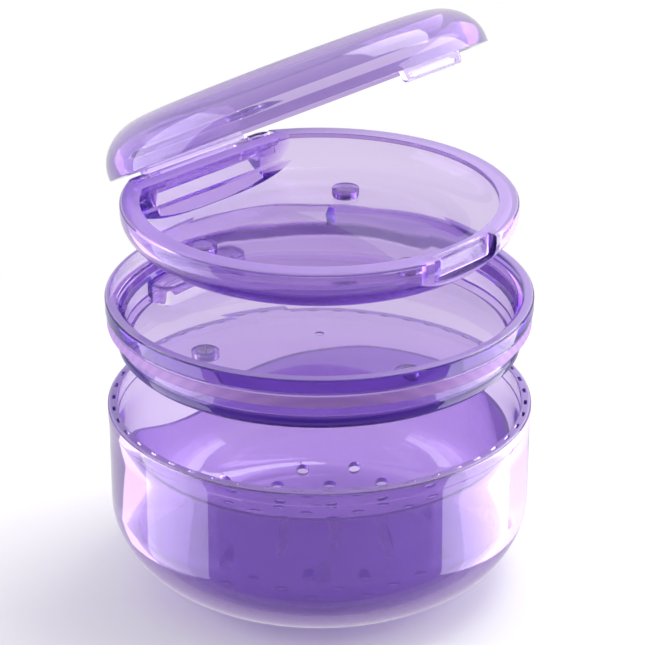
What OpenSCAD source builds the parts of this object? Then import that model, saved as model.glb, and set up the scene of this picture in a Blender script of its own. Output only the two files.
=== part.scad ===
// Denture case in clear plastic. A soaking cup holds a strainer basket. A base with magnets
// lids the cup with its plug and gasket, and a hinged carrying case docks in the base.
// The pieces stand lifted apart on one axis, with the carrying case part open.

/* [Carrying case tray] */
// Outer diameter of the tray
case_d = 85.8; // [80:0.2:92]
// Height of the tray
case_h = 11.1; // [10.4:0.1:12.4]
// Diameter of the flat underside
case_foot_d = 59.9; // [54:0.1:64]
// Straight height of the outer wall under the rim
case_band_h = 2.4; // [1.6:0.1:3]
// Exponent of the rounded outer side
case_curve = 1.85; // [1.6:0.05:2.4]
// Wall of the tray
case_wall = 1.6; // [1.2:0.1:2]
// Floor of the tray
case_floor = 1.4; // [1.2:0.1:1.8]
// Width of the flat rim face
case_rim_w = 4.3; // [3.4:0.1:5]
// Thickness of the rim's inward lip
case_lip_t = 1.05; // [0.8:0.05:1.5]

/* [Case hinge] */
// Hinge axis, measured in from the tray's outer edge
hinge_inset = 5.5; // [4.8:0.1:6.2]
// Hinge axis, measured down from the tray's rim
hinge_drop = 2.9; // [2.7:0.1:3.2]
// Diameter of the lid's barrel and of the tray's knuckles
barrel_d = 4.8; // [4.2:0.1:5.2]
// Length of the lid's barrel
barrel_len = 31.8; // [28:0.2:34]
// End gap between the barrel and each knuckle
barrel_gap = 0.3; // [0.2:0.05:0.6]
// Length of each knuckle
knuckle_len = 5.8; // [5:0.1:6.4]
// Gap between the barrel and the straight wall in front of it
wall_gap = 0.8; // [0.6:0.1:1.2]
// Width of the straight wall's top face
wall_top_w = 3.2; // [2.8:0.1:4]
// Width of the ledge at the foot of the straight wall
ledge_step_w = 1.8; // [1:0.1:2.4]
// Height of that ledge over the tray's floor
ledge_step_h = 3.4; // [2:0.1:4.4]
// Diameter of the stub pins
pin_d = 2; // [1.6:0.1:2.4]
// Length of the stub pins
pin_len = 8; // [6:0.2:9]
// How far a pin reaches into the barrel
pin_reach = 3.6; // [2.6:0.1:4.4]
// Radial clearance of the pin in its knuckle
pin_seat = 0.02; // [0.01:0.01:0.05]
// Radial clearance of the pin in the barrel
pin_run = 0.06; // [0.04:0.01:0.1]

/* [Case lid] */
// Height of the lid
lid_h = 10.6; // [9.6:0.1:12]
// Diameter of the lid's flat top
lid_top_d = 63; // [58:0.2:66]
// Straight height of the lid's outer wall under its dome
lid_skirt_h = 1; // [0.5:0.1:2]
// Width of the lid's rim face
lid_rim_w = 3.9; // [3.2:0.1:4.3]
// Straight height of the lid's hollow over its rim
lid_band_h = 2.4; // [1.4:0.1:3]
// Thickness of the lid's top
lid_top_t = 2.2; // [1.6:0.1:2.6]
// Gap between the lid and the tray's rim when shut
lid_gap = 0.16; // [0.1:0.02:0.3]
// How far the lid stands open
lid_open = 28.5; // [0:0.5:36]
// How far the lid can open
lid_open_max = 36; // [30:1:38]
// Thickness of the web between the barrel and the lid
web_t = 2.4; // [1.6:0.1:3]

/* [Latch] */
// Width of the latch tab
tab_w = 17; // [14:0.5:18]
// Drop of the tab below the lid
tab_h = 2.5; // [2.3:0.1:3.4]
// Thickness of the tab
tab_t = 1.3; // [1:0.1:1.5]
// Inset of the tab's upright edges from the lid's edge
tab_inset = 0.1; // [0.05:0.05:0.3]
// Corner radius of the tab's foot
tab_r = 1; // [0.4:0.1:1.4]
// Height of the slot's lower edge over the tab's foot
slot_rise = 0.6; // [0.5:0.1:0.8]
// Width of the slot in the tab
slot_w = 13.2; // [9:0.2:13.4]
// Height of the slot in the tab
slot_h = 0.8; // [0.6:0.1:1]
// Gap beside the tab in the tray's recess
tab_gap = 0.4; // [0.3:0.05:0.6]
// Height of the tray's recess
recess_h = 5.2; // [4:0.1:6]
// Wall between the recess and the tray's mouth
recess_wall = 1; // [0.8:0.05:1.2]
// Height of the catch ridge
catch_h = 0.4; // [0.3:0.05:0.5]
// Clearance between the catch ridge and the tab
catch_clear = 0.15; // [0.12:0.01:0.25]
// Width of the pillar on each side of the tab's recess
pillar_w = 2.4; // [1.6:0.2:4]

/* [Magnetic base] */
// Radial clearance round the docked case
dock_clear = 0.5; // [0.4:0.05:1]
// Width of the base's wall beside the case
base_wall = 3.4; // [3.2:0.1:4.4]
// Step from the upper to the lower inside wall
base_step = 0.7; // [0.5:0.05:1]
// Wall of the plug
plug_wall = 1.5; // [1.3:0.1:2]
// Height of the plug below the seat
plug_h = 6; // [5:0.1:6.8]
// Height of the shallow groove round the plug
groove_h = 0.6; // [0.4:0.1:0.8]
// Height of the groove's middle over the plug's foot
groove_rise = 2.7; // [2.4:0.1:3]
// Depth of the groove
groove_deep = 0.25; // [0.1:0.05:0.35]
// Floor of the base
base_floor = 1.4; // [1.2:0.1:1.8]
// Diameter of the moulding gate's dimple
gate_d = 2; // [1:0.1:3]
// Depth of the dimple
gate_deep = 0.25; // [0.1:0.05:0.4]
// Step from the plug out to the neck inside the gasket
neck_step = 0.5; // [0.4:0.05:0.6]
// How far the base's rim stands above the docked case's rim
rim_stand = 0.1; // [0:0.05:0.5]
// Half width of the key that fills the case's hinge notch
key_half_w = 13.4; // [11:0.2:13.8]
// Height of the key above the floor
key_h = 4.6; // [3.6:0.1:4.8]
// Gap in front of the key
key_gap = 0.4; // [0.3:0.05:0.8]
// Corner radius of the key
key_r = 3; // [2:0.1:3.6]
// Wall of the hollow key
key_wall = 1.2; // [1:0.1:1.6]
// Clearance round the opening lid in the base's relief
relief_clear = 0.2; // [0.15:0.01:0.3]

/* [Gasket] */
// Height of the gasket
gasket_h = 2.5; // [2:0.1:3]
// How far the gasket lies inside the base's edge
gasket_inset = 0.3; // [0.2:0.05:0.6]
// Gap between the gasket and the neck
gasket_gap = 0.1; // [0.05:0.05:0.15]

/* [Magnets] */
// Diameter of a magnet
magnet_d = 4; // [3:0.1:5]
// Thickness of a magnet
magnet_t = 1.5; // [1:0.1:1.8]
// Distance of the magnets from the axis
magnet_r = 26; // [18:0.5:26.2]
// Wall of the bosses round the magnets
boss_wall = 1; // [0.8:0.1:1.4]
// Skin left over a magnet
magnet_skin = 0.8; // [0.6:0.1:1]
// Thickness of a magnet's cap
cap_t = 0.8; // [0.6:0.1:1]
// Radial clearance of magnets and caps in their pockets
magnet_gap = 0.05; // [0.03:0.01:0.1]

/* [Soaking cup] */
// Height of the cup
cup_h = 41; // [38:0.5:48]
// Radial clearance of the plug in the mouth
plug_clear = 0.65; // [0.6:0.05:0.9]
// Width of the cup's flat rim
cup_rim_w = 2.15; // [2:0.05:3]
// Depth of the mouth down to its ledge
mouth_depth = 7.4; // [7:0.1:8.4]
// Width of the ledge below the mouth
ledge_w = 0.65; // [0.4:0.05:0.9]
// Diameter of the flat base
cup_base_d = 50.8; // [46:0.2:56]
// Height of the rounded lower part
knee_h = 18; // [15:0.5:20]
// Floor of the cup
cup_floor = 2.4; // [1.8:0.1:3]
// Inward lean of the outer wall over its height
cup_draft = 0.16; // [0:0.02:0.3]
// Height of the collar round the rim
collar_h = 2.6; // [1.6:0.1:4]
// Number of grip pits in the rim
pit_n = 48; // [24:1:60]
// Length of a pit along the rim
pit_len = 2.2; // [1.4:0.1:3]
// Width of a pit across the rim
pit_w = 0.8; // [0.5:0.05:1.1]
// Depth of a pit
pit_deep = 0.6; // [0.3:0.05:1]

/* [Strainer basket] */
// Gap between the basket and the cup's wall
basket_gap = 1.7; // [1.2:0.1:2.4]
// Wall and floor of the basket
basket_wall = 1.1; // [0.9:0.1:1.5]
// Depth of the basket's rim below the cup's rim
basket_drop = 8.5; // [7.6:0.1:10]
// Height of the basket's feet
foot_h = 1.6; // [1.2:0.1:2.2]
// Diameter of a foot
foot_d = 4; // [3:0.2:6]
// Distance of the feet from the axis
foot_r = 17.4; // [14:0.2:20]
// Depth of the finger dip in the rim
dip_h = 11.5; // [8:0.5:14]
// Half width of the finger dip
dip_half_w = 40; // [30:0.5:41]
// Diameter of a drain hole
hole_d = 3; // [2.2:0.1:3.6]
// Pitch of the drain holes
hole_pitch = 8.7; // [7.6:0.1:10]
// Sideways shift of the hole pattern
hole_shift_x = 2.2; // [-4:0.1:4]
// Front to back shift of the hole pattern
hole_shift_y = -2.3; // [-4:0.1:4]
// Largest distance of a drain hole from the axis
hole_reach = 33; // [24:0.5:34]

/* [Edges] */
// Broken edge of the rims
edge = 0.5; // [0.3:0.05:0.6]
// Lead-in chamfer of the plug and of the base's band
lead = 1; // [0.8:0.1:1.2]

/* [Lifted pose] */
// Lift of the base above the cup
base_lift = 19.3; // [12:0.1:30]
// Lift of the case above the base's floor
case_lift = 21.5; // [14:0.1:30]

/* [Hidden] */
$fn = 96;
steps = 12;
eps = 0.01;
over = 1;
big = 200;

case_r = case_d / 2;
case_foot_r = case_foot_d / 2;
case_knee = case_h - case_band_h;
case_mouth_r = case_r - case_rim_w;

barrel_r = barrel_d / 2;
pin_r = pin_d / 2;
hinge_y = case_r - hinge_inset;
hinge_z = case_h - hinge_drop;
notch_x = barrel_len / 2 + barrel_gap;
knuckle_end = notch_x + knuckle_len;
pin_in = barrel_len / 2 - pin_reach;
pin_out = pin_in + pin_len;
wall_back = hinge_y - barrel_r - wall_gap;
wall_front = wall_back - wall_top_w;
lid_z = case_h + lid_gap;
lid_top_r = lid_top_d / 2;

tab_back = sqrt(pow(case_r - tab_inset, 2) - tab_w * tab_w / 4);
catch_y = tab_back - tab_t - catch_clear;
recess_y = case_mouth_r + recess_wall;
slot_z = lid_z - tab_h + slot_rise + slot_h / 2;

dish_r = case_r + dock_clear;
base_r = dish_r + base_wall;
well_r = dish_r - base_step;
plug_r = well_r + plug_wall;
neck_r = plug_r + neck_step;
dish_floor_z = base_floor - plug_h;
base_top = dish_floor_z + case_h + rim_stand;
gasket_r = base_r - gasket_inset;
dock_hinge_z = dish_floor_z + hinge_z;
key_front = wall_back + key_gap;

pocket_r = magnet_d / 2 + magnet_gap;
boss_r = pocket_r + boss_wall;
magnet_at = [150, 30, 270];
magnet_ids = [0:len(magnet_at) - 1];

mouth_r = plug_r + plug_clear;
cup_r = mouth_r + cup_rim_w;
cup_in_r = mouth_r - ledge_w;
cup_foot_r = cup_base_d / 2;
basket_r = cup_in_r - basket_gap;
basket_z = cup_floor + foot_h;
basket_top = cup_h - basket_drop;

base_z = cup_h + base_lift;
case_z = base_z + dish_floor_z + case_lift;

// Points on a quarter of an ellipse, or of a fuller curve with an exponent over 2
function quarter(cx, cz, rx, rz, from, to, expo = 2) = [
    for (i = [0:steps]) let (a = from + (to - from) * i / steps, c = cos(a), s = sin(a))
        [cx + rx * sign(c) * pow(abs(c), 2 / expo), cz + rz * sign(s) * pow(abs(s), 2 / expo)]
];

// Point on the lid's back outer side, measured from the hinge axis, with the lid turned open
function lid_back(a, open) = let (
    y = lid_top_r + (case_r - lid_top_r) * cos(a) - hinge_y,
    z = lid_z - hinge_z + lid_skirt_h + (lid_h - lid_skirt_h) * sin(a))
    [y * cos(open) + z * sin(open), z * cos(open) - y * sin(open)];

// All those points that pass below a height over the docked hinge axis
function lid_sweep(top) = [for (open = [0:lid_open_max], a = [0:90])
    let (p = lid_back(a, open)) if (p[1] < top) p];

module turned(points) {
    rotate_extrude() polygon(points);
}

module slab(x, y0, y1, z0, z1) {
    translate([-x, y0, z0]) cube([2 * x, y1 - y0, z1 - z0]);
}

module rod_x(r, length, y, z) {
    translate([0, y, z]) rotate([0, 90, 0]) cylinder(r = r, h = length, center = true);
}

module at_magnet(i) {
    rotate(magnet_at[i]) translate([magnet_r, 0, 0]) children();
}

// Soaking cup
module cup_outer() {
    turned(concat([[0, 0]],
        quarter(cup_foot_r, knee_h, cup_r - cup_draft - cup_foot_r, knee_h, -90, 0),
        [[cup_r - cup_draft / 2, cup_h - collar_h - edge], [cup_r, cup_h - collar_h],
         [cup_r, cup_h - edge], [cup_r - edge, cup_h], [0, cup_h]]));
}

module cup_inner() {
    turned(concat([[0, cup_floor]],
        quarter(cup_foot_r, knee_h, cup_in_r - cup_foot_r, knee_h - cup_floor, -90, 0),
        [[cup_in_r, cup_h - mouth_depth - ledge_w], [mouth_r - ledge_w / 4, cup_h - mouth_depth],
         [mouth_r - ledge_w / 4, cup_h - mouth_depth / 2],
         [mouth_r, cup_h - mouth_depth / 2 + ledge_w / 4],
         [mouth_r, cup_h + over], [0, cup_h + over]]));
}

module soak_cup() {
    color([0.80, 0.74, 0.93]) difference() {
        cup_outer();
        cup_inner();
        for (i = [0:pit_n - 1]) rotate(i * 360 / pit_n)
            translate([(cup_r - edge + mouth_r) / 2, 0, cup_h])
                cube([pit_w, pit_len, 2 * pit_deep], center = true);
    }
}

// Strainer basket
module basket_shell(inset) {
    turned(concat([[0, basket_z + inset]],
        quarter(cup_foot_r, knee_h, basket_r - cup_draft - inset - cup_foot_r,
            knee_h - basket_z - inset, -90, 0),
        [[basket_r - inset, basket_top + (inset > 0 ? over : 0)],
         [0, basket_top + (inset > 0 ? over : 0)]]));
}

module finger_dip() {
    dip = [for (i = [-steps:steps]) let (u = i / steps)
        [u * dip_half_w, basket_top - dip_h * (1 + cos(180 * u)) / 2]];
    translate([0, basket_r + over, 0]) rotate([90, 0, 0]) linear_extrude(basket_r)
        polygon(concat(dip, [[dip_half_w, basket_top + over], [-dip_half_w, basket_top + over]]));
}

module drain_holes() {
    span = ceil(hole_reach / hole_pitch) + 1;
    for (i = [-span:span], j = [-span:span])
        let (x = hole_shift_x + i * hole_pitch, y = hole_shift_y + j * hole_pitch)
            if (norm([x, y]) < hole_reach) translate([x, y, cup_floor])
                cylinder(d = hole_d, h = knee_h - cup_floor);
}

module strainer_basket() {
    color([0.52, 0.37, 0.80]) {
        difference() {
            basket_shell(0);
            basket_shell(basket_wall);
            finger_dip();
            drain_holes();
        }
        for (a = [45:90:315]) rotate(a) translate([foot_r, 0, cup_floor])
            cylinder(d = foot_d, h = foot_h + basket_wall / 2);
    }
}

// Magnetic base, measured from the seat plane where the gasket meets the cup's rim
module base_body() {
    bevel = base_step * 2;
    low = groove_rise - groove_h / 2 - plug_h;
    high = low + groove_h;
    turned([[0, -plug_h], [plug_r - lead, -plug_h], [plug_r, -plug_h + lead],
        [plug_r, low - groove_deep], [plug_r - groove_deep, low], [plug_r - groove_deep, high],
        [plug_r, high + groove_deep], [plug_r, 0], [neck_r, 0], [neck_r, gasket_h],
        [gasket_r, gasket_h], [gasket_r, gasket_h + edge], [base_r, gasket_h + lead],
        [base_r, base_top - edge], [base_r - edge, base_top], [dish_r + bevel, base_top],
        [dish_r, base_top - bevel], [dish_r, base_step], [well_r, 0],
        [well_r, dish_floor_z + bevel], [well_r - bevel, dish_floor_z],
        [0, dish_floor_z]]);
}

module rounded_key(inset, z0, z1) {
    y0 = key_front + inset;
    y1 = plug_r;
    x = key_half_w - inset;
    r = key_r - inset;
    translate([0, 0, z0]) linear_extrude(z1 - z0) union() {
        translate([-x, y0 + r]) square([2 * x, y1 - y0 - r]);
        translate([-x + r, y0]) square([2 * (x - r), y1 - y0]);
        for (s = [-1, 1]) translate([s * (x - r), y0 + r]) circle(r);
    }
}

module key_block() {
    intersection() {
        rounded_key(0, -plug_h, dish_floor_z + key_h);
        cylinder(r = plug_r - edge, h = big, center = true);
    }
}

module key_core() {
    intersection() {
        rounded_key(key_wall, -plug_h - over, dish_floor_z + key_h - key_wall);
        cylinder(r = well_r - key_wall, h = big, center = true);
    }
}

// Room in the band for the lid's back to turn down while the case is docked
module lid_relief() {
    sweep = lid_sweep(base_top - dock_hinge_z);
    intersection() {
        rod_x(max([for (p = sweep) norm(p)]) + relief_clear, big, hinge_y, dock_hinge_z);
        cylinder(r = hinge_y + max([for (p = sweep) p[0]]) + relief_clear, h = big, center = true);
        translate([-big / 2, 0, gasket_h]) cube(big);
    }
}

module base_tray() {
    color([0.62, 0.48, 0.86]) translate([0, 0, base_z]) difference() {
        union() {
            base_body();
            key_block();
            for (i = magnet_ids) at_magnet(i)
                translate([0, 0, dish_floor_z - magnet_skin - magnet_t - cap_t])
                    cylinder(r = boss_r, h = cap_t + magnet_t + magnet_skin / 2);
        }
        key_core();
        lid_relief();
        for (i = magnet_ids) at_magnet(i)
            translate([0, 0, dish_floor_z - magnet_skin - magnet_t - cap_t - over])
                cylinder(r = pocket_r, h = magnet_t + cap_t + over);
        translate([0, 0, dish_floor_z - gate_deep]) cylinder(d = gate_d, h = over);
    }
}

module base_gasket() {
    color([0.70, 0.55, 0.86]) translate([0, 0, base_z]) turned([
        [neck_r + gasket_gap, 0], [gasket_r - edge / 2, 0], [gasket_r, edge / 2],
        [gasket_r, gasket_h - edge / 4], [gasket_r - edge / 4, gasket_h],
        [neck_r + gasket_gap, gasket_h]]);
}

module base_magnet(i) {
    color([0.82, 0.82, 0.85]) translate([0, 0, base_z + dish_floor_z - magnet_skin - magnet_t])
        at_magnet(i) cylinder(d = magnet_d, h = magnet_t);
}

module base_cap(i) {
    color([0.74, 0.63, 0.90])
        translate([0, 0, base_z + dish_floor_z - magnet_skin - magnet_t - cap_t])
            at_magnet(i) cylinder(d = magnet_d, h = cap_t);
}

// Carrying case tray, measured from its flat underside
module case_outer() {
    turned(concat([[0, 0]],
        quarter(case_foot_r, case_knee, case_r - case_foot_r, case_knee, -90, 0, case_curve),
        [[case_r, case_h - edge], [case_r - edge, case_h], [0, case_h]]));
}

// Hollow of the tray, clear of the straight wall, of its ledge and of the latch's housing
module case_hollow() {
    difference() {
        turned(concat([[0, case_floor]],
            quarter(case_foot_r, case_knee, case_r - case_wall - case_foot_r,
                case_knee - case_floor, -90, 0, case_curve),
            [[case_r - case_wall, case_h - case_lip_t], [0, case_h - case_lip_t]]));
        slab(big, wall_back - case_wall, big, -over, big);
        slab(big, wall_back - case_wall - ledge_step_w, big, -over, case_floor + ledge_step_h);
        slab(tab_w / 2 + tab_gap + pillar_w, -case_r, -case_mouth_r, -over, big);
    }
    intersection() {
        cylinder(r = case_mouth_r, h = case_h + over);
        slab(big, -big, wall_front, case_h - case_lip_t - eps, big);
    }
}

module case_knuckle(side) {
    intersection() {
        translate([side * (notch_x + knuckle_len / 2), 0, 0])
            rod_x(barrel_r, knuckle_len, hinge_y, hinge_z);
        cylinder(r = case_r, h = big);
    }
}

// Straight-walled recess that the latch tab drops into, with a low catch ridge
module latch_recess() {
    difference() {
        slab(tab_w / 2 + tab_gap, -case_r - over, -recess_y, case_h - recess_h, big);
        slab(slot_w / 2 - tab_gap, -catch_y, over - recess_y, slot_z - catch_h / 2,
            slot_z + catch_h / 2);
    }
}

module case_tray() {
    color([0.66, 0.52, 0.88]) translate([0, 0, case_z]) difference() {
        union() {
            difference() {
                case_outer();
                case_hollow();
                slab(notch_x, wall_back, big, -over, big);
                slab(knuckle_end, wall_back, big, hinge_z, big);
                latch_recess();
            }
            for (s = [-1, 1]) case_knuckle(s);
            for (i = magnet_ids) at_magnet(i)
                cylinder(r = boss_r, h = cap_t + magnet_t + magnet_skin);
        }
        for (i = magnet_ids) at_magnet(i)
            translate([0, 0, -over]) cylinder(r = pocket_r, h = over + cap_t + magnet_t);
        rod_x(pin_r + pin_seat, 2 * (pin_out + edge), hinge_y, hinge_z);
    }
}

module case_magnet(i) {
    color([0.82, 0.82, 0.85]) translate([0, 0, case_z + cap_t])
        at_magnet(i) cylinder(d = magnet_d, h = magnet_t);
}

module case_cap(i) {
    color([0.74, 0.63, 0.90]) translate([0, 0, case_z])
        at_magnet(i) cylinder(d = magnet_d, h = cap_t);
}

// Carrying case lid, drawn shut and then turned open about the hinge
module lid_dome(r, straight, top, below) {
    turned(concat([[0, lid_z - below], [r, lid_z - below]],
        quarter(lid_top_r, lid_z + straight, r - lid_top_r, top - straight, 0, 90),
        [[0, lid_z + top]]));
}

// Tab with a rounded foot that hangs from the lid's rim face
module latch_tab() {
    foot = lid_z - tab_h;
    difference() {
        translate([0, tab_t - tab_back, 0]) rotate([90, 0, 0]) linear_extrude(tab_t) union() {
            translate([-tab_w / 2, foot + tab_r]) square([tab_w, tab_h + lid_skirt_h - tab_r]);
            translate([-tab_w / 2 + tab_r, foot]) square([tab_w - 2 * tab_r, tab_h]);
            for (s = [-1, 1]) translate([s * (tab_w / 2 - tab_r), foot + tab_r]) circle(tab_r);
        }
        slab(slot_w / 2, -big, 0, slot_z - slot_h / 2, slot_z + slot_h / 2);
    }
}

module lid_closed() {
    difference() {
        union() {
            difference() {
                lid_dome(case_r, lid_skirt_h, lid_h, 0);
                lid_dome(case_r - lid_rim_w, lid_band_h, lid_h - lid_top_t, over);
            }
            intersection() {
                slab(barrel_len / 2, hinge_y - web_t / 2, hinge_y + web_t / 2, hinge_z, lid_z + lid_h);
                lid_dome(case_r - lid_rim_w / 2, lid_skirt_h, lid_h - lid_top_t / 2, lid_z - hinge_z);
            }
            rod_x(barrel_r, barrel_len, hinge_y, hinge_z);
            latch_tab();
        }
        for (s = [-1, 1]) translate([s * barrel_len / 2, 0, 0])
            rod_x(pin_r + pin_run, 2 * (pin_reach + edge), hinge_y, hinge_z);
    }
}

module case_lid() {
    color([0.84, 0.79, 0.94]) translate([0, hinge_y, case_z + hinge_z])
        rotate([-lid_open, 0, 0]) translate([0, -hinge_y, -hinge_z]) lid_closed();
}

module hinge_pin(side) {
    color([0.88, 0.84, 0.96]) translate([side * (pin_in + pin_out) / 2, 0, case_z])
        rod_x(pin_r, pin_len, hinge_y, hinge_z);
}

soak_cup();
strainer_basket();
base_tray();
base_gasket();
base_magnet(0);  // base_magnet_left
base_magnet(1);  // base_magnet_right
base_magnet(2);  // base_magnet_front
base_cap(0);  // base_cap_left
base_cap(1);  // base_cap_right
base_cap(2);  // base_cap_front
case_tray();
case_magnet(0);  // case_magnet_left
case_magnet(1);  // case_magnet_right
case_magnet(2);  // case_magnet_front
case_cap(0);  // case_cap_left
case_cap(1);  // case_cap_right
case_cap(2);  // case_cap_front
case_lid();
hinge_pin(-1);  // hinge_pin_left
hinge_pin(1);  // hinge_pin_right
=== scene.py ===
"""Denture case in clear violet plastic, lifted apart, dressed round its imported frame."""

import math

import bpy
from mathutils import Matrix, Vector


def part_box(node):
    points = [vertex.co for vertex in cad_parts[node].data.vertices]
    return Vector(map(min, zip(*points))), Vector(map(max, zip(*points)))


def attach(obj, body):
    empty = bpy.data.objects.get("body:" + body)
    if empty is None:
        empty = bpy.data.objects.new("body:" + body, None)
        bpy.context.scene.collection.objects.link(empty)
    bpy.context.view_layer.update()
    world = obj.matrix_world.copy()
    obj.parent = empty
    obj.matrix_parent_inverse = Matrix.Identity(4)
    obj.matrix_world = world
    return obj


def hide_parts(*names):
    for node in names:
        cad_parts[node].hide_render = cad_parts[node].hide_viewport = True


bl_info = {
    "name": "Denture Case",
    "version": (1, 0, 0),
    "blender": (4, 5, 0),
    "location": "View3D > Sidebar > Denture Case",
    "description": "Builds the clear shells, the seal, the magnets and the studio of a denture case",
    "category": "Object",
}

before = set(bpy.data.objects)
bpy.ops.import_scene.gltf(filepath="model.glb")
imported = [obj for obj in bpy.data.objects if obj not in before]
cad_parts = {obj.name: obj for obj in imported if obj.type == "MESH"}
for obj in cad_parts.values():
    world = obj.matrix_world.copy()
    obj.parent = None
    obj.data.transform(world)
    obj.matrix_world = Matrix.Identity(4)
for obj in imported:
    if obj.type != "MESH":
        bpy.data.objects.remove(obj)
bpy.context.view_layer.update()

MM = 0.001
ROUND = 160  # segments of the large round shells
SMALL = 48  # segments of holes, magnets and pins
CLOSE = 1e-7  # ends of an edge count as level within this

# Sizes in mm that several pieces share
HINGE_Y, HINGE_H = 37.4, 8.2  # the hinge's axis behind the middle, and above the tray's underside
BARREL_R, PIN_R = 2.4, 1
DISH_FLOOR = -4.6  # the base's floor below its seat
MAGNET_RING, MAGNET_R, MAGNET_H, CAP_H = 26, 2, 1.5, 0.8
BOSS_R, BOSS_H, POCKET_R = 3.05, 3.1, 2.05
MAGNETS = {"left": 150.0, "right": 30.0, "front": 270.0}  # degrees round the axis
PAST = 60  # a cutting block's reach past every piece

# Looks
LEAK = 0.6  # share of the light led inside a wall that its skin lets out at each turn
SHADE = (0.80, 0.83, 0.77)  # what one skin of the plastic leaves of a lamp's light
RIM_PAINTED_SHEEN = (0.56, 0.42, 0.80)  # pale lilac painted on a rim's flat face: a painted sheen in place of the bright surroundings that the face reflects
RIM_SHEEN_CLEAR = 0.35  # how clear a rim's flat face stays under its painted sheen
RIM_SHEEN_BAND = (0.0003, 0.0001)  # depth below the rim at which the painted sheen starts, and is full
AHEAD = (0.7314, 0.6820, 0)  # from the camera's side to the far side
PLASTIC_IOR, SILICONE_IOR = 1.49, 1.41
HAZE = (0.02, 0.07)  # roughness where the skin is clean, and where it is rubbed
FLOW = 0.010  # height of the moulding flow


def low(node):
    """The lower corner of a CAD node's box."""
    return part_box(node)[0]


def high(node):
    """The upper corner of a CAD node's box."""
    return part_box(node)[1]


def half_width(node):
    return (high(node).x - low(node).x) / 2


# Sizes and colours


class CupSizes(bpy.types.PropertyGroup):
    rim_r: bpy.props.FloatProperty(
        name="Rim radius", description="Outer radius of the cup's collar",
        default=half_width("soak_cup"), unit="LENGTH")
    height: bpy.props.FloatProperty(
        name="Height", description="Height of the cup", default=high("soak_cup").z, unit="LENGTH")
    mouth_r: bpy.props.FloatProperty(
        name="Mouth radius", description="Inner radius at the rim", default=0.04485, unit="LENGTH")
    inner_r: bpy.props.FloatProperty(
        name="Inner radius", description="Inner radius below the ledge", default=0.0442, unit="LENGTH")
    foot_r: bpy.props.FloatProperty(
        name="Foot radius", description="Radius of the flat base", default=0.0254, unit="LENGTH")
    knee_h: bpy.props.FloatProperty(
        name="Knee height", description="Height of the rounded lower part", default=0.018, unit="LENGTH")
    floor: bpy.props.FloatProperty(
        name="Floor", description="Thickness of the cup's floor", default=0.0024, unit="LENGTH")
    pits: bpy.props.IntProperty(
        name="Rim pits", description="Small pits round the rim", default=48)


class BasketSizes(bpy.types.PropertyGroup):
    rim_r: bpy.props.FloatProperty(
        name="Rim radius", description="Outer radius of the basket's rim",
        default=half_width("strainer_basket"), unit="LENGTH")
    wall: bpy.props.FloatProperty(
        name="Wall", description="Wall of the basket", default=0.0011, unit="LENGTH")
    rim_z: bpy.props.FloatProperty(
        name="Rim height", description="Height of the basket's rim",
        default=high("strainer_basket").z, unit="LENGTH")
    hole_r: bpy.props.FloatProperty(
        name="Hole radius", description="Radius of a drain hole", default=0.0015, unit="LENGTH")
    pitch: bpy.props.FloatProperty(
        name="Hole pitch", description="Pitch of the drain holes", default=0.0087, unit="LENGTH")


class CaseSizes(bpy.types.PropertyGroup):
    radius: bpy.props.FloatProperty(
        name="Case radius", description="Outer radius of the carrying case", default=0.0429, unit="LENGTH")
    tray_z: bpy.props.FloatProperty(
        name="Tray height", description="Height of the tray's underside above the table",
        default=low("case_tray").z, unit="LENGTH")
    base_z: bpy.props.FloatProperty(
        name="Seat height", description="Height of the base's seat above the table",
        default=low("base_gasket").z, unit="LENGTH")
    lid_open: bpy.props.FloatProperty(
        name="Lid opening", description="How far the lid stands open",
        default=math.radians(28.5), subtype="ANGLE")


class PlasticLooks(bpy.types.PropertyGroup):
    tint: bpy.props.FloatVectorProperty(
        name="Plastic tint", description="Colour that the clear plastic lets through",
        default=(0.38, 0.045, 0.735), size=3, subtype="COLOR", min=0, max=1)
    depth: bpy.props.FloatProperty(
        name="Tint depth", description="How strongly a metre of the plastic absorbs", default=260.0)
    seal: bpy.props.FloatVectorProperty(
        name="Seal colour", description="Colour of the seal", default=(0.64, 0.37, 1.0),
        size=3, subtype="COLOR", min=0, max=1)
    floor: bpy.props.FloatVectorProperty(
        name="Floor colour", description="Colour of the studio floor", default=(0.93, 0.925, 0.935),
        size=3, subtype="COLOR", min=0, max=1)


# Modelling by hand


def clear_selection():
    """Leaves edit mode, with nothing selected."""
    if bpy.context.object and bpy.context.object.mode != "OBJECT":
        bpy.ops.object.mode_set(mode="OBJECT")
    bpy.ops.object.select_all(action="DESELECT")


def alone(piece):
    """Makes the piece the one that is selected and active."""
    clear_selection()
    piece.select_set(True)
    bpy.context.view_layer.objects.active = piece


def edit(piece):
    """Opens the piece in edit mode with all of it selected."""
    alone(piece)
    bpy.ops.object.mode_set(mode="EDIT")
    bpy.ops.mesh.select_all(action="SELECT")


def turn_mesh(piece, angle, axis, centre=(0, 0, 0)):
    """Turns the whole mesh round an axis through a point."""
    edit(piece)
    bpy.ops.transform.rotate(value=angle, orient_axis=axis, center_override=centre)
    bpy.ops.object.mode_set(mode="OBJECT")


def named(name, piece=None):
    """Gives the piece, or the one just added, its name."""
    piece = piece or bpy.context.object
    piece.name = piece.data.name = name
    return piece


def settle(piece):
    """Puts the piece's place into its mesh, with its object at the origin."""
    alone(piece)
    bpy.ops.object.transform_apply(location=True, rotation=True, scale=True)
    return piece


def outward(piece):
    """Merges doubles and points the faces outwards."""
    edit(piece)
    bpy.ops.mesh.remove_doubles(threshold=CLOSE)
    bpy.ops.mesh.normals_make_consistent(inside=False)
    bpy.ops.object.mode_set(mode="OBJECT")
    return piece


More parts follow.
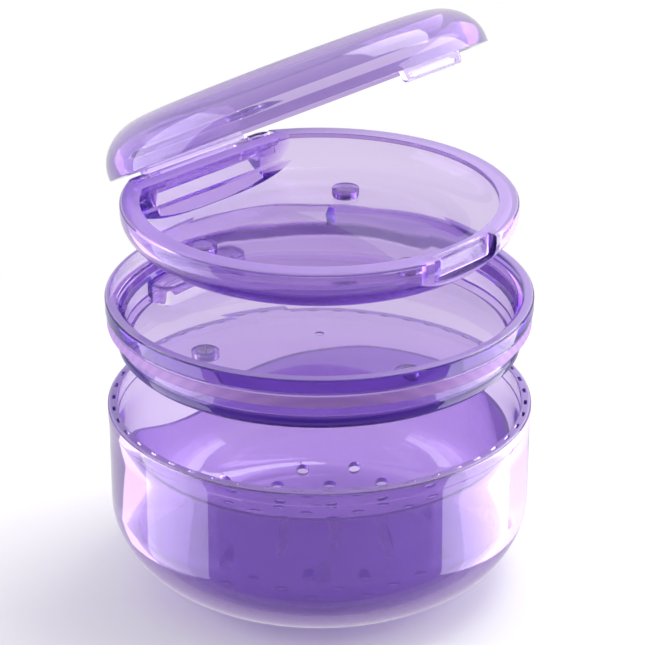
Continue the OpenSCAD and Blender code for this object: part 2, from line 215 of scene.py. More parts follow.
def turned(name, outline, segments=ROUND, ring=False):
    """A round shell: a circle extruded and resized from point to point of an outline in mm."""
    clear_selection()
    r, z = outline[0]
    bpy.ops.mesh.primitive_circle_add(vertices=segments, radius=r * MM, location=(0, 0, z * MM))
    piece = settle(named(name))
    bpy.ops.object.mode_set(mode="EDIT")
    bpy.ops.mesh.select_mode(type="VERT")
    bpy.ops.mesh.select_all(action="SELECT")
    if not ring:
        bpy.ops.mesh.edge_face_add()
        bpy.ops.mesh.select_all(action="SELECT")
        bpy.ops.mesh.duplicate()
        bpy.ops.mesh.delete(type="ONLY_FACE")
        bpy.ops.object.mode_set(mode="OBJECT")
        for v in piece.data.vertices:
            v.select = v.index >= segments
        bpy.ops.object.mode_set(mode="EDIT")
    for r1, z1 in outline[1:]:
        bpy.ops.mesh.extrude_region_move(TRANSFORM_OT_translate={"value": (0, 0, (z1 - z) * MM)})
        bpy.ops.transform.resize(value=(r1 / r, r1 / r, 1), center_override=(0, 0, 0))
        r, z = r1, z1
    if ring:
        bpy.ops.object.mode_set(mode="OBJECT")
        count = len(piece.data.vertices)
        for v in piece.data.vertices:
            v.select = v.index < segments or v.index >= count - segments
        for e in piece.data.edges:
            e.select = all(piece.data.vertices[i].select for i in e.vertices) and (
                (e.vertices[0] < segments) == (e.vertices[1] < segments))
        bpy.ops.object.mode_set(mode="EDIT")
        bpy.ops.mesh.select_mode(type="EDGE")
        bpy.ops.mesh.bridge_edge_loops()
    else:
        bpy.ops.mesh.edge_face_add()
    bpy.ops.object.mode_set(mode="OBJECT")
    return outward(piece)


def round_off(piece, picked, width, segments):
    """Rounds the edges whose two ends pass the test, by a width in mm."""
    alone(piece)
    bpy.ops.object.mode_set(mode="EDIT")
    bpy.ops.mesh.select_mode(type="EDGE")
    bpy.ops.mesh.select_all(action="DESELECT")
    bpy.ops.object.mode_set(mode="OBJECT")
    for e in piece.data.edges:
        e.select = picked(*(piece.data.vertices[i].co for i in e.vertices))
    bpy.ops.object.mode_set(mode="EDIT")
    bpy.ops.mesh.bevel(offset=width * MM, segments=segments, affect="EDGES")
    bpy.ops.object.mode_set(mode="OBJECT")
    return piece


def block(x0, x1, y0, y1, z0, z1, edge=0.0):
    """A box between limits in mm, its edges rounded."""
    clear_selection()
    bpy.ops.mesh.primitive_cube_add(
        size=MM, location=((x0 + x1) / 2 * MM, (y0 + y1) / 2 * MM, (z0 + z1) / 2 * MM),
        scale=(x1 - x0, y1 - y0, z1 - z0))
    piece = settle(named("block"))
    if edge:
        edit(piece)
        bpy.ops.mesh.bevel(offset=edge * MM, segments=3, affect="EDGES")
        bpy.ops.object.mode_set(mode="OBJECT")
    return piece


def rod(r, x0, x1, y, z, segments=SMALL * 2):
    """A cylinder along X in mm."""
    clear_selection()
    bpy.ops.mesh.primitive_cylinder_add(
        vertices=segments, radius=r * MM, depth=(x1 - x0) * MM,
        location=((x0 + x1) / 2 * MM, y * MM, z * MM), rotation=(0, math.pi / 2, 0))
    return settle(named("rod"))


def post(r, x, y, z0, z1, segments=SMALL, edge=0.0):
    """An upright cylinder in mm, its rims rounded."""
    clear_selection()
    bpy.ops.mesh.primitive_cylinder_add(
        vertices=segments, radius=r * MM, depth=(z1 - z0) * MM,
        location=(x * MM, y * MM, (z0 + z1) / 2 * MM))
    piece = settle(named("post"))
    if edge:
        round_off(piece, lambda a, b: abs(a.z - b.z) < CLOSE, edge, 3)
    return piece


def fit(piece, tool, how="DIFFERENCE"):
    """Cuts the tool from the piece, joins it, or keeps what both share, and clears the tool away."""
    alone(piece)
    bpy.ops.object.modifier_add(type="BOOLEAN")
    mod = piece.modifiers[-1]
    mod.operation, mod.object, mod.solver = how, tool, "EXACT"
    bpy.ops.object.modifier_apply(modifier=mod.name)
    bpy.data.meshes.remove(tool.data)
    return piece


def gathered(tools):
    """One object of several tools that don't touch."""
    clear_selection()
    for t in tools:
        t.select_set(True)
    bpy.context.view_layer.objects.active = tools[0]
    bpy.ops.object.join()
    return bpy.context.object


def smooth(piece, angle=32):
    """Shades the piece smooth but for edges sharper than the angle."""
    alone(piece)
    bpy.ops.object.shade_smooth_by_angle(angle=math.radians(angle))
    return piece


def place(piece, body, slot, *nodes):
    """Gives a finished piece its body and hides the nodes that it stands for. The slot is not used."""
    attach(piece, body)
    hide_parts(*nodes)
    return piece


def quarter(cr, cz, rx, rz, a0, a1, expo=2.0, steps=14):
    """Points of a quarter of an ellipse, or of a fuller curve with an exponent over 2."""
    points = []
    for i in range(steps + 1):
        a = math.radians(a0 + (a1 - a0) * i / steps)
        c, s = math.cos(a), math.sin(a)
        points.append((cr + rx * math.copysign(abs(c) ** (2 / expo), c),
                       cz + rz * math.copysign(abs(s) ** (2 / expo), s)))
    return points


def eased(points, r, steps=3):
    """The outline with each sharp corner rounded by a radius in mm."""
    out = [points[0]]
    for (ax, ay), (bx, by), (cx, cy) in zip(points, points[1:], points[2:]):
        ux, uy, vx, vy = ax - bx, ay - by, cx - bx, cy - by
        lu, lv = math.hypot(ux, uy), math.hypot(vx, vy)
        turn = math.acos(max(-1, min(1, -(ux * vx + uy * vy) / (lu * lv))))
        if turn < math.radians(25):
            out.append((bx, by))
            continue
        d = min(r * math.tan(turn / 2), lu * 0.45, lv * 0.45)
        p, q = (bx + ux / lu * d, by + uy / lu * d), (bx + vx / lv * d, by + vy / lv * d)
        for i in range(steps + 1):
            t = i / steps
            out.append(tuple((1 - t) ** 2 * p[k] + 2 * t * (1 - t) * (bx, by)[k] + t * t * q[k]
                             for k in (0, 1)))
    return out + [points[-1]]


def on_ring(radius, degrees):
    """A point on a ring round the axis."""
    return radius * math.cos(math.radians(degrees)), radius * math.sin(math.radians(degrees))


def lifted(points, z):
    """An outline raised by a height."""
    return [(r, z + h) for r, h in points]


# Finishes


def node(tree, kind, **settings):
    """A new shader node, with its settings and its sockets' values by name."""
    n = tree.nodes.new(kind)
    for key, value in settings.items():
        if hasattr(n, key):
            setattr(n, key, value)
        else:
            n.inputs[key.replace("_", " ")].default_value = value
    return n


def ranged(tree, value, start, end, start_value, end_value):
    """Maps a value between two ends onto two others, and holds it past them."""
    level = node(tree, "ShaderNodeMapRange")
    for key, number in (("From Min", start), ("From Max", end), ("To Min", start_value),
                        ("To Max", end_value)):
        level.inputs[key].default_value = number
    tree.links.new(value, level.inputs["Value"])
    return level.outputs["Result"]


def mixed(tree, share, first, second):
    """Two shaders mixed by a fixed share or by a socket, of which 0 is all of the first."""
    mix = node(tree, "ShaderNodeMixShader")
    if isinstance(share, float):
        mix.inputs[0].default_value = share
    else:
        tree.links.new(share, mix.inputs[0])
    tree.links.new(first, mix.inputs[1])
    tree.links.new(second, mix.inputs[2])
    return mix.outputs[0]


def fresh(name):
    """A new material and its empty node tree."""
    mat = bpy.data.materials.new(name)
    mat.use_nodes = True
    mat.node_tree.nodes.clear()
    return mat, mat.node_tree


def clear_plastic(name, tint, depth, base=(0.96, 0.95, 0.98), milk=0.0, rim_z=None):
    """Clear tinted plastic: tint by depth, faint moulding flow, fine rubbed haze, and a painted lilac
    sheen on the rim's flat face.
    """
    mat, tree = fresh(name)
    link = tree.links.new
    out = node(tree, "ShaderNodeOutputMaterial")
    skin = node(tree, "ShaderNodeBsdfPrincipled", Base_Color=(*base, 1), IOR=PLASTIC_IOR,
                Transmission_Weight=1.0 - milk)
    where = node(tree, "ShaderNodeTexCoord")
    haze = node(tree, "ShaderNodeTexNoise", Scale=900.0, Detail=4.0, Roughness=0.6)
    flow = node(tree, "ShaderNodeTexNoise", Scale=55.0, Detail=1.0, Roughness=0.4)
    dent = node(tree, "ShaderNodeBump", Strength=FLOW, Distance=0.001)
    link(where.outputs["Object"], haze.inputs["Vector"])
    link(where.outputs["Object"], flow.inputs["Vector"])
    link(ranged(tree, haze.outputs["Fac"], 0.45, 0.8, *HAZE), skin.inputs["Roughness"])
    link(flow.outputs["Fac"], dent.inputs["Height"])
    link(dent.outputs["Normal"], skin.inputs["Normal"])

    # The rim's flat face, painted paler and less clear: a painted reflection of the bright surroundings
    if rim_z is not None:
        start, full = rim_z - RIM_SHEEN_BAND[0], rim_z - RIM_SHEEN_BAND[1]
        axes = node(tree, "ShaderNodeSeparateXYZ")
        colours = node(tree, "ShaderNodeValToRGB")
        colours.color_ramp.elements[0].color = (*base, 1)
        colours.color_ramp.elements[1].color = (*RIM_PAINTED_SHEEN, 1)
        link(where.outputs["Object"], axes.inputs[0])
        link(ranged(tree, axes.outputs["Z"], start, full, 1.0 - milk, RIM_SHEEN_CLEAR),
             skin.inputs["Transmission Weight"])
        link(ranged(tree, axes.outputs["Z"], start, full, 0.0, 1.0), colours.inputs[0])
        link(colours.outputs["Color"], skin.inputs["Base Color"])

    # Light led inside a wall leaks out of it, and a lamp's light passes to the floor
    ray = node(tree, "ShaderNodeLightPath")
    leak = node(tree, "ShaderNodeBsdfTransparent")
    through = node(tree, "ShaderNodeBsdfTransparent", Color=(*SHADE, 1))
    leaky = mixed(tree, LEAK, skin.outputs[0], leak.outputs[0])
    guided = mixed(tree, ray.outputs["Is Reflection Ray"], skin.outputs[0], leaky)
    lit = mixed(tree, ray.outputs["Is Shadow Ray"], guided, through.outputs[0])
    link(lit, out.inputs["Surface"])
    deep = node(tree, "ShaderNodeVolumeAbsorption", Density=depth)
    deep.inputs["Color"].default_value = (*tint, 1)
    link(deep.outputs[0], out.inputs["Volume"])
    return mat


def silicone(name, colour):
    """Translucent silicone with a fine slanted hatch and a dull bloom."""
    dark, bright = [c * 0.82 for c in colour], [min(1, c * 1.22) for c in colour]
    mat, tree = fresh(name)
    link = tree.links.new
    out = node(tree, "ShaderNodeOutputMaterial")
    skin = node(tree, "ShaderNodeBsdfPrincipled", Roughness=0.38, Transmission_Weight=0.35,
                IOR=SILICONE_IOR)
    where = node(tree, "ShaderNodeTexCoord")
    hatch = node(tree, "ShaderNodeTexWave", Scale=180.0, Distortion=0.4, bands_direction="DIAGONAL")
    cloud = node(tree, "ShaderNodeTexNoise", Scale=160.0, Detail=3.0)
    faint = node(tree, "ShaderNodeMath", operation="MULTIPLY_ADD")
    faint.inputs[1].default_value, faint.inputs[2].default_value = 0.45, 0.25
    colours = node(tree, "ShaderNodeValToRGB")
    colours.color_ramp.elements[0].color = (*dark, 1)
    colours.color_ramp.elements[1].color = (*bright, 1)
    dent = node(tree, "ShaderNodeBump", Strength=0.15, Distance=0.0002)
    for n in (hatch, cloud):
        link(where.outputs["Object"], n.inputs["Vector"])
    link(hatch.outputs["Fac"], faint.inputs[0])
    link(faint.outputs[0], colours.inputs[0])
    link(colours.outputs[0], skin.inputs["Base Color"])
    link(cloud.outputs["Fac"], dent.inputs["Height"])
    link(dent.outputs["Normal"], skin.inputs["Normal"])
    link(skin.outputs[0], out.inputs["Surface"])
    return mat


def nickel(name):
    """Bright nickel plate with fine grinding marks."""
    mat, tree = fresh(name)
    link = tree.links.new
    out = node(tree, "ShaderNodeOutputMaterial")
    skin = node(tree, "ShaderNodeBsdfPrincipled", Base_Color=(0.86, 0.85, 0.88, 1), Metallic=1.0)
    where = node(tree, "ShaderNodeTexCoord")
    marks = node(tree, "ShaderNodeTexNoise", Scale=2500.0, Detail=3.0)
    link(where.outputs["Object"], marks.inputs["Vector"])
    link(ranged(tree, marks.outputs["Fac"], 0.0, 1.0, 0.14, 0.34), skin.inputs["Roughness"])
    link(skin.outputs[0], out.inputs["Surface"])
    return mat


def plastic(name, share=1.0, **settings):
    """The case's plastic, with a share of its full depth of tint."""
    looks = bpy.context.scene.denture_looks
    return clear_plastic(name, tuple(looks.tint), looks.depth * share, **settings)


def coat(piece, mat):
    """Gives the piece its one finish."""
    piece.data.materials.clear()
    piece.data.materials.append(mat)
    return piece


# The pieces


class DENTURE_OT_cup(bpy.types.Operator):
    """Soaking cup with its collar, the step in its mouth and the pits round its rim"""

    bl_idname = "denture.cup"
    bl_label = "Soaking Cup"

    def execute(self, context):
        s = context.scene.denture_cup
        rim, foot, top = s.rim_r / MM, s.foot_r / MM, s.height / MM
        knee, mouth, inner, floor = s.knee_h / MM, s.mouth_r / MM, s.inner_r / MM, s.floor / MM
        collar, bevel = 0.16, 0.5
        side, guide = rim - collar, mouth - collar
        outside = quarter(foot, knee, side - foot, knee, -90, 0) + [
            (side, top - 3.1), (rim, top - 2.85), (rim, top - bevel), (rim - bevel, top)]
        inside = quarter(foot, knee, inner - foot, knee - floor, -90, 0) + [
            (inner, top - 8.3), (guide, top - 7.0), (guide, top - 3.7), (mouth, top - 3.54),
            (mouth, top)]
        cup = turned("soaking_cup", eased(outside + inside[::-1], 0.28))
        pit_r, pit_d, pit_w, pit_h = (rim - bevel + mouth) / 2, 0.8, 2.2, 0.6
        pits = []
        for i in range(s.pits):
            pit = block(pit_r - pit_d / 2, pit_r + pit_d / 2, -pit_w / 2, pit_w / 2,
                        top - pit_h, top + pit_h, edge=0.18)
            turn_mesh(pit, math.radians(i * 360 / s.pits), "Z")
            pits.append(pit)
        fit(cup, gathered(pits))
        smooth(cup)
        coat(cup, plastic("cup_clear", 0.62, rim_z=s.height))
        place(cup, "cup", "cup_clear", "soak_cup")
        return {"FINISHED"}


class DENTURE_OT_basket(bpy.types.Operator):
    """Strainer basket with its finger dip, its drain holes and its four feet"""

    bl_idname = "denture.basket"
    bl_label = "Strainer Basket"

    def execute(self, context):
        s = context.scene.denture_basket
        cup = context.scene.denture_cup
        r, wall, top = s.rim_r / MM, s.wall / MM, s.rim_z / MM
        foot, knee, feet_h, lean = cup.foot_r / MM, cup.knee_h / MM, 1.6, 0.16
        under = (low("strainer_basket").z + feet_h * MM) / MM
        outside = quarter(foot, knee, r - lean - foot, knee - under, -90, 0) + [(r, top)]
        inside = quarter(foot, knee, r - lean - wall - foot, knee - under - wall, -90, 0) + [
            (r - wall, top)]
        basket = turned("strainer_bowl", eased(outside + inside[::-1], 0.3))

        # The dip is a wave of the rim that sinks by its depth in the middle
        dip_half_w, dip_h = 0.04, 0.0115
        clear_selection()
        bpy.ops.mesh.primitive_grid_add(x_subdivisions=72, y_subdivisions=1, size=2 * dip_half_w,
                                        location=(0, dip_half_w, top * MM))
        dip = settle(named("finger_dip"))
        for v in dip.data.vertices:
            v.co.z -= dip_h / 2 * (1 + math.cos(math.pi * v.co.x / dip_half_w)) + 1e-5
        edit(dip)
        bpy.ops.mesh.extrude_region_move(TRANSFORM_OT_translate={"value": (0, 0, 0.014)})
        bpy.ops.object.mode_set(mode="OBJECT")
        fit(basket, outward(dip))

        # Drain holes on a square grid, and the feet
        pitch, start_x, start_y, rows, reach = s.pitch / MM, 2.2, -2.3, 5, 33
        holes = []
        for i in range(-rows, rows + 1):
            for j in range(-rows, rows + 1):
                x, y = start_x + i * pitch, start_y + j * pitch
                if math.hypot(x, y) < reach:
                    holes.append(post(s.hole_r / MM, x, y, under - 1, knee, segments=24))
        fit(basket, gathered(holes))
        for degrees in (45, 135, 225, 315):
            fit(basket, post(2, *on_ring(17.4, degrees), under - feet_h, under + 0.5, edge=0.3),
                "UNION")
        smooth(basket)
        coat(basket, plastic("basket_violet", 1.15, base=(0.82, 0.69, 0.98), milk=0.16))
        place(basket, "basket", "basket_violet", "strainer_basket")
        return {"FINISHED"}


class DENTURE_OT_base(bpy.types.Operator):
    """Base with its plug, its dish, the key for the case's notch and the magnet bosses"""

    bl_idname = "denture.base"
    bl_label = "Magnetic Base"

    def execute(self, context):
        seat = context.scene.denture_case.base_z / MM
        r = half_width("base_tray") / MM
        plug, neck, dish, well, rim, skirt = 44.2, 44.7, 43.4, 42.7, 6.6, 46.5
        groove, bevel, round_r, seal_h = 0.25, 0.5, 1.4, 2.5
        floor = seat + DISH_FLOOR
        outline = [(plug - 1, -6), (plug, -5), (plug, -3.85), (plug - groove, -3.6),
                   (plug - groove, -3), (plug, -2.75), (plug, 0), (neck, 0), (neck, seal_h),
                   (skirt, seal_h), (skirt, 3), (r, 3.5), (r, rim - bevel), (r - bevel, rim),
                   (dish + round_r, rim), (dish, rim - round_r), (dish, 0.7), (well, 0),
                   (well, DISH_FLOOR + round_r), (well - round_r, DISH_FLOOR), (8, DISH_FLOOR)]
        base = turned("base_dish", lifted(eased(outline, 0.2), seat))

        # The key that fills the case's notch, hollow from below
        key = block(-13.4, 13.4, 34.6, 44, seat - 6, seat)
        round_off(key, lambda a, b: abs(a.z - b.z) > 1e-4 and a.y < 0.035, 3, 10)
        edit(key)
        bpy.ops.mesh.bevel(offset=0.25 * MM, segments=2, affect="EDGES", clamp_overlap=True)
        bpy.ops.object.mode_set(mode="OBJECT")
        fit(key, post(43.7, 0, 0, seat - 8, seat + 2, segments=ROUND), "INTERSECT")
        fit(base, key, "UNION")
        core = block(-12.2, 12.2, 35.8, 46, seat - 7, seat - 1.2, edge=0.4)
        fit(core, post(41.5, 0, 0, seat - 8, seat + 2, segments=ROUND), "INTERSECT")
        fit(base, core)

        # Magnet bosses, the room for the lid's back, and the mould gate's dimple
        for degrees in MAGNETS.values():
            x, y = on_ring(MAGNET_RING, degrees)
            fit(base, post(BOSS_R, x, y, floor - BOSS_H, floor - 0.4, edge=0.2), "UNION")
            fit(base, post(POCKET_R, x, y, floor - 4, floor - 0.8))
        room = rod(8.885, -PAST, PAST, HINGE_Y, floor + HINGE_H, segments=ROUND)
        fit(room, post(45.771, 0, 0, seat + seal_h, seat + 20, segments=ROUND), "INTERSECT")
        fit(base, room)
        fit(base, post(1, 0, 0, floor - 0.25, floor + 1, edge=0.1))
        smooth(base)
        coat(base, plastic("base_violet", 1.35, rim_z=(seat + rim) * MM))
        place(base, "base", "base_violet", "base_tray")

        bore, edge = neck + 0.1, 46.25
        outline = [(bore, 0.3), (bore, 0), (edge, 0), (skirt, 0.25), (skirt, seal_h - 0.1),
                   (skirt - 0.1, seal_h), (bore, seal_h), (bore, 0.31)]
        seal = turned("base_seal", lifted(eased(outline, 0.12), seat), ring=True)
        smooth(seal)
        coat(seal, silicone("gasket_silicone", tuple(context.scene.denture_looks.seal)))
        place(seal, "base", "gasket_silicone", "base_gasket")
        return {"FINISHED"}


class DENTURE_OT_tray(bpy.types.Operator):
    """Carrying case tray with its straight wall, knuckles, latch recess and magnet bosses"""

    bl_idname = "denture.tray"
    bl_label = "Case Tray"

    def execute(self, context):
        s = context.scene.denture_case
        z, r = s.tray_z / MM, s.radius / MM
        tall, knee, foot, fullness = 11.1, 8.7, 29.95, 1.85
        side, floor, lip, bevel = 1.6, 1.4, 38.6, 0.5
        back, front, ledge = 34.2, 31.0, 1.8
        low_z, high_z = z - 5, z + 30
        outside = quarter(foot, knee, r - foot, knee, -90, 0, fullness) + [
            (r, tall - bevel), (r - bevel, tall)]
        tray = turned("case_tray_shell", lifted(eased(outside + [(8, tall)], 0.2), z))
        inside = quarter(foot, knee, r - side - foot, knee - floor, -90, 0, fullness) + [
            (r - side, tall - 1.05), (8, tall - 1.05)]
        hollow = turned("hollow", lifted(eased(inside, 0.3), z))
        fit(hollow, block(-PAST, PAST, back - side, PAST, low_z, high_z))
        fit(hollow, block(-PAST, PAST, back - side - ledge, PAST, low_z, z + floor + 3.4))
        fit(hollow, block(-11.3, 11.3, -50, -lip, low_z, high_z))
        fit(tray, hollow)
        outline = [(8, tall - 1.2), (lip, tall - 1.2), (lip, tall - 0.1), (lip + 0.3, tall + 0.6)]
        mouth = turned("mouth", lifted(eased(outline, 0.2), z))
        fit(mouth, block(-PAST, PAST, front, PAST, z, high_z))
        fit(tray, mouth)

        # The notch for the key, the seat of the lid's barrel and the latch recess
        fit(tray, block(-16.2, 16.2, back, PAST, low_z, high_z, edge=0.5))
        fit(tray, block(-22, 22, back, PAST, z + HINGE_H, high_z, edge=0.5))
        recess = block(-8.9, 8.9, -PAST, -39.6, z + 5.9, high_z, edge=0.3)
        fit(recess, block(-6.2, 6.2, -40.5, -39, z + 9.56, z + 9.96, edge=0.1))
        fit(tray, recess)
        for side_sign in (-1, 1):
            x0, x1 = sorted((side_sign * 16.2, side_sign * 22))
            knuckle = rod(BARREL_R, x0, x1, HINGE_Y, z + HINGE_H)
            fit(knuckle, post(r, 0, 0, low_z, high_z, segments=ROUND), "INTERSECT")
            fit(tray, knuckle, "UNION")
            x0, x1 = sorted((side_sign * 10, side_sign * 20.8))
            fit(tray, rod(1.02, x0, x1, HINGE_Y, z + HINGE_H))
        for degrees in MAGNETS.values():
            x, y = on_ring(MAGNET_RING, degrees)
            fit(tray, post(BOSS_R, x, y, z, z + BOSS_H, edge=0.2), "UNION")
            fit(tray, post(POCKET_R, x, y, z - 1, z + 2.3))
        smooth(tray)
        coat(tray, plastic("tray_violet", 1.1, rim_z=(z + tall) * MM))
        place(tray, "case", "tray_violet", "case_tray")
        return {"FINISHED"}


class DENTURE_OT_lid(bpy.types.Operator):
    """Carrying case lid with its hinge barrel and its latch tab, standing open"""

    bl_idname = "denture.lid"
    bl_label = "Case Lid"

    def execute(self, context):
        s = context.scene.denture_case
        z, r = s.tray_z / MM, s.radius / MM
        edge, tall, flat, skirt = 11.26, 10.6, 31.5, 1.0
        rim, band, top_t, lead = 3.9, 2.4, 2.2, 0.3
        barrel_half, hinge = 15.9, z + HINGE_H

        def arch(reach, straight, top):
            return quarter(flat, edge + straight, reach - flat, top - straight, 0, 90) + [(8, edge + top)]

        outside = [(r - rim, edge), (r, edge)] + arch(r, skirt, tall)
        inside = [(r - rim + lead, edge - 2), (r - rim + lead, edge), (r - rim, edge + lead)]
        inside += arch(r - rim, band, tall - top_t)
        dome = turned("case_lid_shell", lifted(eased(outside, 0.25), z))
        fit(dome, turned("hollow", lifted(eased(inside, 0.25), z)))

        # The barrel, on a web that reaches half into the shell
        web = block(-barrel_half, barrel_half, 36.2, 38.6, hinge, z + edge + tall)
        middle = [(r - rim / 2, 0)] + arch(r - rim / 2, skirt, tall - top_t / 2)
        fit(web, turned("cap", lifted(middle, z)), "INTERSECT")
        fit(dome, web, "UNION")
        fit(dome, rod(BARREL_R, -barrel_half, barrel_half, HINGE_Y, hinge), "UNION")

        # The latch tab with its slot
        tab = block(-8.5, 8.5, -41.95, -40.65, z + 8.76, z + edge + skirt)
        round_off(tab, lambda a, b: abs(a.y - b.y) > 1e-4 and a.z < (z + 9) * MM, 1, 6)
        round_off(tab, lambda a, b: abs(a.y - b.y) < CLOSE and a.z < (z + edge) * MM, 0.15, 2)
        fit(tab, block(-6.6, 6.6, -PAST, 0, z + 9.36, z + 10.16, edge=0.2))
        fit(dome, tab, "UNION")
        for side in (-1, 1):
            fit(dome, rod(1.06, *sorted((side * 11.8, side * 20)), HINGE_Y, hinge))
        turn_mesh(dome, s.lid_open, "X", (0, HINGE_Y * MM, hinge * MM))
        smooth(dome)
        coat(dome, plastic("lid_clear", 0.75, base=(0.92, 0.90, 0.96), milk=0.10))
        place(dome, "lid", "lid_clear", "case_lid")
        return {"FINISHED"}


class DENTURE_OT_magnets(bpy.types.Operator):
    """Magnets of the base and the tray, with the caps that close their pockets"""

    bl_idname = "denture.magnets"
    bl_label = "Magnets and Caps"

    def execute(self, context):
        s = context.scene.denture_case
        floor, z = s.base_z / MM + DISH_FLOOR, s.tray_z / MM
        bright = nickel("magnet_nickel")
        cover = plastic("cap_clear")
        rows = (("base", floor - BOSS_H + CAP_H, floor - BOSS_H), ("case", z + CAP_H, z))
        for body, magnet_z, cap_z in rows:
            for name, degrees in MAGNETS.items():
                x, y = on_ring(MAGNET_RING, degrees)
                magnet = post(MAGNET_R, x, y, magnet_z, magnet_z + MAGNET_H, edge=0.15)
                coat(smooth(named(f"{body}_disc_{name}", magnet)), bright)
                place(magnet, body, "magnet_nickel", f"{body}_magnet_{name}")
                cap = post(MAGNET_R, x, y, cap_z, cap_z + CAP_H, edge=0.1)
                coat(smooth(named(f"{body}_plug_{name}", cap)), cover)
                place(cap, body, "cap_clear", f"{body}_cap_{name}")
        return {"FINISHED"}


class DENTURE_OT_pins(bpy.types.Operator):
    """Stub pins of the case's hinge"""

    bl_idname = "denture.pins"
    bl_label = "Hinge Pins"

    def execute(self, context):
        hinge = context.scene.denture_case.tray_z / MM + HINGE_H
        mat = plastic("pin_clear")
        for side, name in ((-1, "left"), (1, "right")):
            x0, x1 = sorted((side * 12.3, side * 20.3))
            pin = rod(PIN_R, x0, x1, HINGE_Y, hinge, segments=SMALL)
            round_off(pin, lambda a, b: abs(a.x - b.x) < CLOSE, 0.2, 2)
            coat(smooth(named(f"stub_pin_{name}", pin)), mat)
            place(pin, "case", "pin_clear", f"hinge_pin_{name}")
        return {"FINISHED"}


# The studio

LAMPS = {  # place, what it faces, width and height, power
    "soft_left": ((-0.4494, 0.3979, 0.05), (0, 0, 0.05), (0.5, 1.0), 4.5),
    "soft_right": ((0.4630, -0.3814, 0.05), (0, 0, 0.05), (0.64, 1.0), 7.5),
    "soft_top": ((0.4240, -0.0147, 0.8), (0, 0, 0.06), (0.5, 0.5), 4.0),
}
LENS, SENSOR = 142.5, 36
EYE, LOOKS_DOWN, HEADING = (-0.37269, -0.34846, 0.29082), 24.495, -47
BOUNCES = 40  # enough for light to pass all the walls of the nest


def away(tree, socket, near, far, near_value, far_value):
    """A value that rises from the camera's side of the studio to its far side."""
    where = node(tree, "ShaderNodeTexCoord")
    along = node(tree, "ShaderNodeVectorMath", operation="DOT_PRODUCT")
    along.inputs[1].default_value = AHEAD
    tree.links.new(where.outputs[socket], along.inputs[0])
    return ranged(tree, along.outputs["Value"], near, far, near_value, far_value)


def floor_paper(colour):
    """Paper that keeps the shadow round the object and is plain white farther out."""
    mat, tree = fresh("floor_paper")
    link = tree.links.new
    out = node(tree, "ShaderNodeOutputMaterial")
    paper = node(tree, "ShaderNodeBsdfDiffuse", Color=(*colour, 1))
    glow = node(tree, "ShaderNodeEmission", Color=(1, 1, 1, 1))
    where = node(tree, "ShaderNodeTexCoord")
    reach = node(tree, "ShaderNodeVectorMath", operation="LENGTH")
    white = node(tree, "ShaderNodeMath", operation="MAXIMUM")
    link(where.outputs["Object"], reach.inputs[0])
    link(ranged(tree, reach.outputs["Value"], 0.07, 0.24, 0.1, 1.0), white.inputs[0])
    link(away(tree, "Object", -0.02, 0.16, 0.1, 1.0), white.inputs[1])
    seen = mixed(tree, white.outputs[0], paper.outputs[0], glow.outputs[0])

    # Mirrored rays pass the floor, so the side lamps show whole in the walls
    ray = node(tree, "ShaderNodeLightPath")
    clear = node(tree, "ShaderNodeBsdfTransparent")
    last = mixed(tree, ray.outputs["Is Reflection Ray"], seen, clear.outputs[0])
    link(last, out.inputs["Surface"])
    return mat


def surroundings(context):
    """White behind the object, soft light on it, and darker on the camera's side in mirrored rays."""
    world = bpy.data.worlds.new("studio_world")
    context.scene.world = world
    world.use_nodes = True
    tree = world.node_tree
    tree.nodes.clear()
    out = node(tree, "ShaderNodeOutputWorld")
    soft = node(tree, "ShaderNodeBackground", Strength=0.5)
    mirrored = node(tree, "ShaderNodeBackground")
    plain = node(tree, "ShaderNodeBackground", Strength=1.0)
    plain.inputs["Color"].default_value = (1, 1, 1, 1)
    tree.links.new(away(tree, "Generated", -0.6, 0.3, 0.35, 1.0), mirrored.inputs["Strength"])
    ray = node(tree, "ShaderNodeLightPath")
    seen = node(tree, "ShaderNodeMath", operation="MAXIMUM")
    tree.links.new(ray.outputs["Is Camera Ray"], seen.inputs[0])
    tree.links.new(ray.outputs["Is Transmission Ray"], seen.inputs[1])
    first = mixed(tree, ray.outputs["Is Reflection Ray"], soft.outputs[0], mirrored.outputs[0])
    last = mixed(tree, seen.outputs[0], first, plain.outputs[0])
    tree.links.new(last, out.inputs["Surface"])


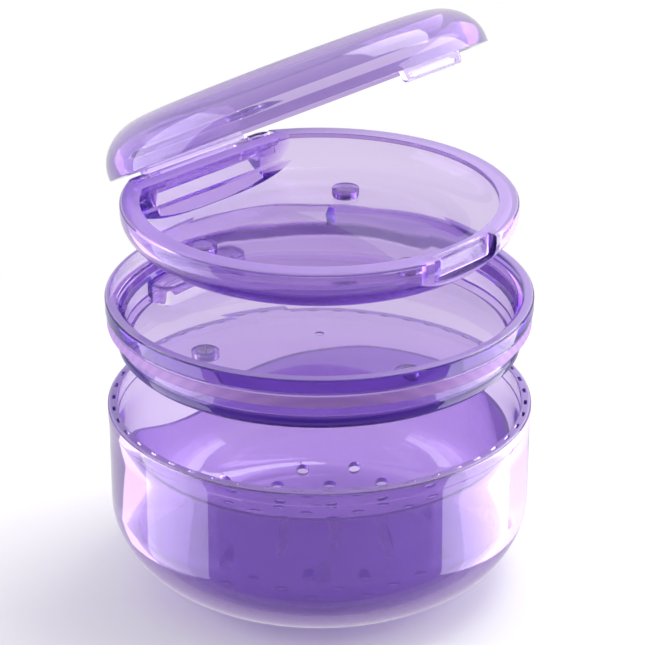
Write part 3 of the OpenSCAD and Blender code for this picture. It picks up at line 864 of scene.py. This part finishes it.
class DENTURE_OT_studio(bpy.types.Operator):
    """Pale floor, soft boxes, pale surroundings and the camera"""

    bl_idname = "denture.studio"
    bl_label = "Studio"

    def execute(self, context):
        scene = context.scene
        clear_selection()
        bpy.ops.mesh.primitive_plane_add(size=60, location=(0, 0, -0.0001))
        floor = settle(named("studio_floor"))
        coat(floor, floor_paper(scene.denture_looks.floor))
        surroundings(context)

        for name, (spot, aim, size, power) in LAMPS.items():
            data = bpy.data.lights.new(name, "AREA")
            data.shape, data.energy = "RECTANGLE", power
            data.size, data.size_y = size
            lamp = bpy.data.objects.new(name, data)
            scene.collection.objects.link(lamp)
            lamp.location = spot
            facing = Vector(aim) - Vector(spot)
            lamp.rotation_euler = facing.to_track_quat("-Z", "Y").to_euler()

        data = bpy.data.cameras.new("photo_view")
        data.lens, data.sensor_width = LENS, SENSOR
        camera = bpy.data.objects.new("photo_view", data)
        scene.collection.objects.link(camera)
        camera.location = EYE
        camera.rotation_euler = (math.radians(90 - LOOKS_DOWN), 0, math.radians(HEADING))
        scene.camera = camera
        scene.view_settings.view_transform = "Standard"
        scene.cycles.max_bounces = BOUNCES
        scene.cycles.transmission_bounces = BOUNCES
        scene.cycles.glossy_bounces = BOUNCES
        scene.cycles.transparent_max_bounces = BOUNCES
        return {"FINISHED"}


class DENTURE_PT_panel(bpy.types.Panel):
    """Sizes, colours and the steps that build the case"""

    bl_label = "Denture Case"
    bl_idname = "DENTURE_PT_panel"
    bl_space_type = "VIEW_3D"
    bl_region_type = "UI"
    bl_category = "Denture Case"

    def draw(self, context):
        for name in GROUPS:
            group = getattr(context.scene, name)
            box = self.layout.box()
            for key in group.__annotations__:
                box.prop(group, key)
        for op in OPERATORS:
            self.layout.operator(op.bl_idname)


GROUPS = {"denture_cup": CupSizes, "denture_basket": BasketSizes, "denture_case": CaseSizes,
          "denture_looks": PlasticLooks}
OPERATORS = (DENTURE_OT_studio, DENTURE_OT_cup, DENTURE_OT_basket, DENTURE_OT_base, DENTURE_OT_tray,
             DENTURE_OT_lid, DENTURE_OT_magnets, DENTURE_OT_pins)


def register():
    for cls in (*GROUPS.values(), *OPERATORS, DENTURE_PT_panel):
        bpy.utils.register_class(cls)
    for name, cls in GROUPS.items():
        setattr(bpy.types.Scene, name, bpy.props.PointerProperty(type=cls))


def unregister():
    for name in GROUPS:
        delattr(bpy.types.Scene, name)
    for cls in (DENTURE_PT_panel, *reversed(OPERATORS), *reversed(GROUPS.values())):
        bpy.utils.unregister_class(cls)


def main():
    register()
    for op in OPERATORS:
        area, name = op.bl_idname.split(".")
        getattr(getattr(bpy.ops, area), name)()


if __name__ == "__main__":
    main()
